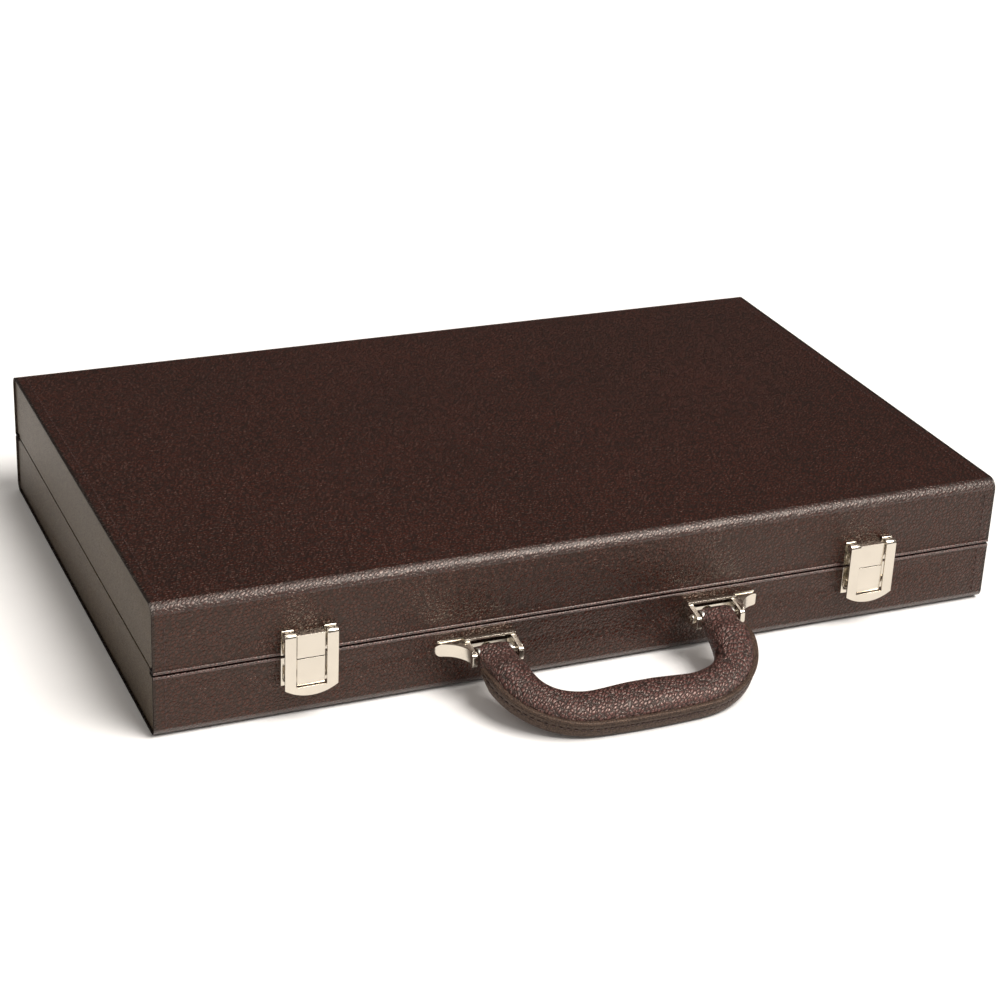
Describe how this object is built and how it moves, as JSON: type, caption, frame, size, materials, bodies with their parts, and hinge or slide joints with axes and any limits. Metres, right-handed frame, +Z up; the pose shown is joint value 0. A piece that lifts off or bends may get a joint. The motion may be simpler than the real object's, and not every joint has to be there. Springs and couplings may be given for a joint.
{
  "type": "poker chip case",
  "caption": "Flat leather covered attache case for poker chips, with a hinged lid, two flap latches, a padded drop handle and a divided chip insert.",
  "frame": {"origin": "centre of the base's underside, on the surface the closed case rests on", "axes": "+X to the case's right seen from the front, +Y from the handle side to the hinge side, +Z up"},
  "size_m": [0.48, 0.3846, 0.074],
  "materials": {
    "case_leather": "dark maroon brown pebbled leather with a satin grain",
    "end_leather": "dark brown leather, matt, on the two end panels",
    "handle_leather": "dark brown pebbled leather, padded and stitched",
    "lining_suede": "short napped suede cloth",
    "insert_suede": "fibreboard covered in short napped suede cloth",
    "pad_velvet": "padded velvet with a stitched edge",
    "fibreboard": "raw fibreboard, hidden under the leather",
    "nickel_plate": "bright warm nickel plate",
    "zinc_steel": "nickel plated steel, satin"
  },
  "bodies": {
    "base": {"base_back_board": "fibreboard", "base_bottom_board": "fibreboard", "base_bottom_cover": "case_leather", "base_front_board": "fibreboard", "base_left_board": "fibreboard", "base_left_end_panel": "end_leather", "base_right_board": "fibreboard", "base_right_end_panel": "end_leather", "base_wall_lining": "lining_suede", "base_wrap": "case_leather", "bracket_rivets": "nickel_plate", "bracket_screws": "nickel_plate", "handle_pins": "nickel_plate", "hinge_base_screws": "zinc_steel", "hinge_left_base_leaf": "zinc_steel", "hinge_pins": "zinc_steel", "hinge_right_base_leaf": "zinc_steel", "insert_cross_wall": "insert_suede", "insert_floor": "insert_suede", "insert_front_rail": "insert_suede", "insert_rear_rail": "insert_suede", "insert_side_rails": "insert_suede", "latch_base_rivets": "nickel_plate", "left_handle_bracket": "nickel_plate", "left_latch_base_plate": "nickel_plate", "right_handle_bracket": "nickel_plate", "right_latch_base_plate": "nickel_plate", "row_dividers": "insert_suede", "stay_base_pivots": "zinc_steel", "well_dividers": "insert_suede"},
    "lid": {"hinge_left_lid_leaf": "zinc_steel", "hinge_lid_screws": "zinc_steel", "hinge_right_lid_leaf": "zinc_steel", "latch_lid_rivets": "nickel_plate", "latch_pins": "nickel_plate", "left_latch_lid_plate": "nickel_plate", "lid_back_board": "fibreboard", "lid_front_board": "fibreboard", "lid_left_board": "fibreboard", "lid_left_end_panel": "end_leather", "lid_pad": "pad_velvet", "lid_right_board": "fibreboard", "lid_right_end_panel": "end_leather", "lid_top_board": "fibreboard", "lid_wall_lining": "lining_suede", "lid_wrap": "case_leather", "right_latch_lid_plate": "nickel_plate", "stay_lid_pivots": "zinc_steel"},
    "left_flap": {"left_latch_flap": "nickel_plate"},
    "right_flap": {"right_latch_flap": "nickel_plate"},
    "handle": {"handle_core": "zinc_steel", "handle_padding": "handle_leather", "handle_edge_band": "handle_leather"},
    "left_lower_arm": {"left_stay_lower_arm": "zinc_steel", "left_stay_elbow_rivet": "zinc_steel"},
    "left_upper_arm": {"left_stay_upper_arm": "zinc_steel"},
    "right_lower_arm": {"right_stay_lower_arm": "zinc_steel", "right_stay_elbow_rivet": "zinc_steel"},
    "right_upper_arm": {"right_stay_upper_arm": "zinc_steel"}
  },
  "joints": [
    {"name": "lid_hinge", "type": "hinge", "parent": "base", "child": "lid", "pos_m": [0, 0.1558, 0.0357], "axis": [-1, 0, 0], "range_deg": [0, 105]},
    {"name": "left_latch_hinge", "type": "hinge", "parent": "lid", "child": "left_flap", "pos_m": [-0.1607, -0.1576, 0.048], "axis": [-1, 0, 0], "range_deg": [0, 110]},
    {"name": "right_latch_hinge", "type": "hinge", "parent": "lid", "child": "right_flap", "pos_m": [0.1607, -0.1576, 0.048], "axis": [-1, 0, 0], "range_deg": [0, 110]},
    {"name": "handle_hinge", "type": "hinge", "parent": "base", "child": "handle", "pos_m": [0, -0.1642, 0.025], "axis": [-1, 0, 0], "range_deg": [-65, 105]},
    {"name": "left_stay_lower_pivot", "type": "hinge", "parent": "base", "child": "left_lower_arm", "pos_m": [-0.2268, 0.1058, 0.0147], "axis": [-1, 0, 0], "range_deg": [0, 105]},
    {"name": "left_stay_upper_pivot", "type": "hinge", "parent": "lid", "child": "left_upper_arm", "pos_m": [-0.2294, 0.0758, 0.0577], "axis": [-1, 0, 0], "range_deg": [-105, 0]},
    {"name": "right_stay_lower_pivot", "type": "hinge", "parent": "base", "child": "right_lower_arm", "pos_m": [0.2268, 0.1058, 0.0147], "axis": [-1, 0, 0], "range_deg": [0, 105]},
    {"name": "right_stay_upper_pivot", "type": "hinge", "parent": "lid", "child": "right_upper_arm", "pos_m": [0.2294, 0.0758, 0.0577], "axis": [-1, 0, 0], "range_deg": [-105, 0]}
  ],
  "couplings": [
    {"joint": "left_stay_lower_pivot", "follows": "lid_hinge", "ratio": 1},
    {"joint": "left_stay_upper_pivot", "follows": "lid_hinge", "ratio": -1},
    {"joint": "right_stay_lower_pivot", "follows": "lid_hinge", "ratio": 1},
    {"joint": "right_stay_upper_pivot", "follows": "lid_hinge", "ratio": -1}
  ]
}
